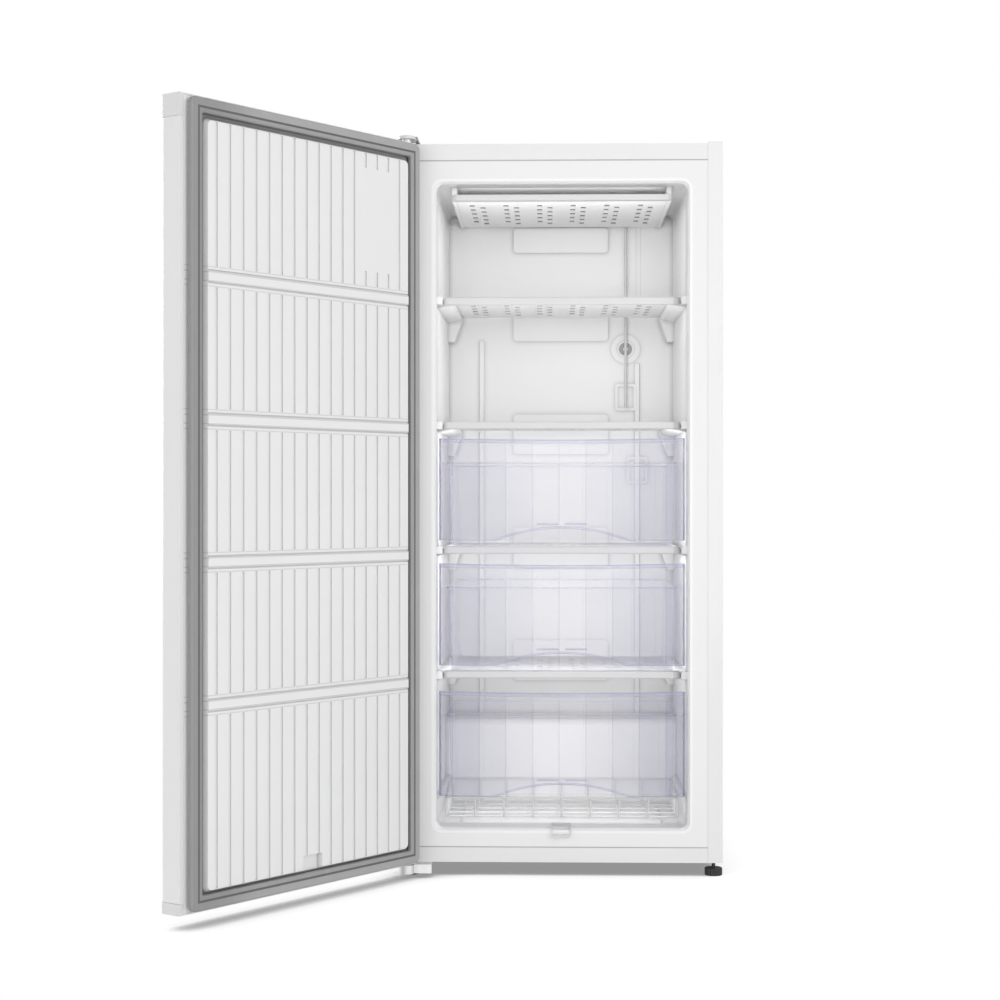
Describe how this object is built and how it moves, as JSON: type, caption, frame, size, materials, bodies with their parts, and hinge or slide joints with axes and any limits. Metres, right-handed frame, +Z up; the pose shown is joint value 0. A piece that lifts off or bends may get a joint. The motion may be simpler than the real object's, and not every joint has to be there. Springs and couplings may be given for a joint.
{
  "type": "upright freezer",
  "caption": "Upright freezer with a hinged insulated door standing open, slotted evaporator shelves, clear pull-out drawers, a wire basket and a condenser on the back.",
  "frame": {"origin": "on the floor, under the middle of the bounding box of the freezer with its door open", "axes": "+Z up, +X to the right seen from the front, +Y from the front to the back"},
  "size_m": [0.9566, 1.0312, 1.3773],
  "materials": {
    "white_enamel": "smooth white enamel with a fine orange peel",
    "galvanised": "galvanised sheet",
    "insulation": "rigid cream foam",
    "liner": "vacuum-formed white sheet, satin",
    "evaporator": "white-lacquered aluminium plate",
    "trim": "moulded white plastic",
    "clear_plastic": "clear moulded plastic with a faint violet tint",
    "white_wire": "white coated wire",
    "gasket": "soft grey extruded seal",
    "black_plastic": "black moulded plastic",
    "zinc": "zinc-plated steel",
    "black_enamel": "black enamel",
    "copper": "drawn copper",
    "black_rubber": "moulded rubber",
    "grey_plastic": "grey moulded plastic"
  },
  "bodies": {
    "cabinet": {"back_panel": "galvanised", "base_panel": "galvanised", "bay_pan": "galvanised", "bottom_rail": "white_enamel", "cabinet_foam": "insulation", "cabinet_liner": "liner", "capillary": "copper", "ceiling_evaporator": "evaporator", "ceiling_trim": "trim", "compressor": "black_enamel", "condenser_brackets": "galvanised", "condenser_tube": "black_enamel", "condenser_wires": "black_enamel", "evaporator_shelf_1": "evaporator", "evaporator_shelf_2": "evaporator", "evaporator_shelf_3": "evaporator", "evaporator_shelf_4": "evaporator", "filter_drier": "copper", "lower_hinge_bracket": "zinc", "lower_hinge_pin": "zinc", "port_grommet": "gasket", "rear_foot_left": "black_plastic", "rear_foot_right": "black_plastic", "relay_cover": "black_plastic", "riser_pipe": "white_wire", "rubber_mounts": "black_rubber", "shelf_trim_1": "trim", "shelf_trim_2": "trim", "shelf_trim_3": "trim", "shelf_trim_4": "trim", "side_panel_left": "white_enamel", "side_panel_right": "white_enamel", "suction_line": "copper", "top_hinge_bracket": "zinc", "top_hinge_cover": "trim", "top_hinge_pin": "zinc", "top_panel": "white_enamel"},
    "door": {"door_skin": "white_enamel", "door_top_cap": "trim", "door_bottom_cap": "trim", "door_foam": "insulation", "door_liner": "liner", "door_gasket": "gasket", "door_grip": "trim", "upper_bush": "black_plastic", "lower_bush": "black_plastic"},
    "drawer_1": {"drawer_1_front": "clear_plastic", "drawer_1_tray": "clear_plastic"},
    "drawer_2": {"drawer_2_front": "clear_plastic", "drawer_2_tray": "clear_plastic"},
    "drawer_3": {"drawer_3_front": "clear_plastic", "drawer_3_tray": "clear_plastic"},
    "basket": {"wire_basket": "white_wire", "basket_uprights": "white_wire", "basket_rim": "white_wire"},
    "spout": {"drain_spout": "grey_plastic"},
    "foot_left": {"front_foot_left": "black_plastic"},
    "foot_right": {"front_foot_right": "black_plastic"}
  },
  "joints": [
    {"name": "door_hinge", "type": "hinge", "parent": "cabinet", "child": "door", "pos_m": [-0.11005, -0.03247, 0.7], "axis": [0, 0, -1], "range_deg": [-126, 4]},
    {"name": "drawer_1_slide", "type": "slide", "parent": "cabinet", "child": "drawer_1", "axis": [0, -1, 0], "range_m": [0, 0.3]},
    {"name": "drawer_2_slide", "type": "slide", "parent": "cabinet", "child": "drawer_2", "axis": [0, -1, 0], "range_m": [0, 0.3]},
    {"name": "drawer_3_slide", "type": "slide", "parent": "cabinet", "child": "drawer_3", "axis": [0, -1, 0], "range_m": [0, 0.2]},
    {"name": "basket_slide", "type": "slide", "parent": "cabinet", "child": "basket", "axis": [0, -1, 0], "range_m": [0, 0.2]},
    {"name": "spout_slide", "type": "slide", "parent": "cabinet", "child": "spout", "axis": [0, -1, 0], "range_m": [0, 0.04]},
    {"name": "left_foot_turn", "type": "hinge", "parent": "cabinet", "child": "foot_left", "pos_m": [-0.10605, 0.01353, 0], "axis": [0, 0, 1], "continuous": true},
    {"name": "right_foot_turn", "type": "hinge", "parent": "cabinet", "child": "foot_right", "pos_m": [0.46195, 0.01353, 0], "axis": [0, 0, 1], "continuous": true}
  ]
}
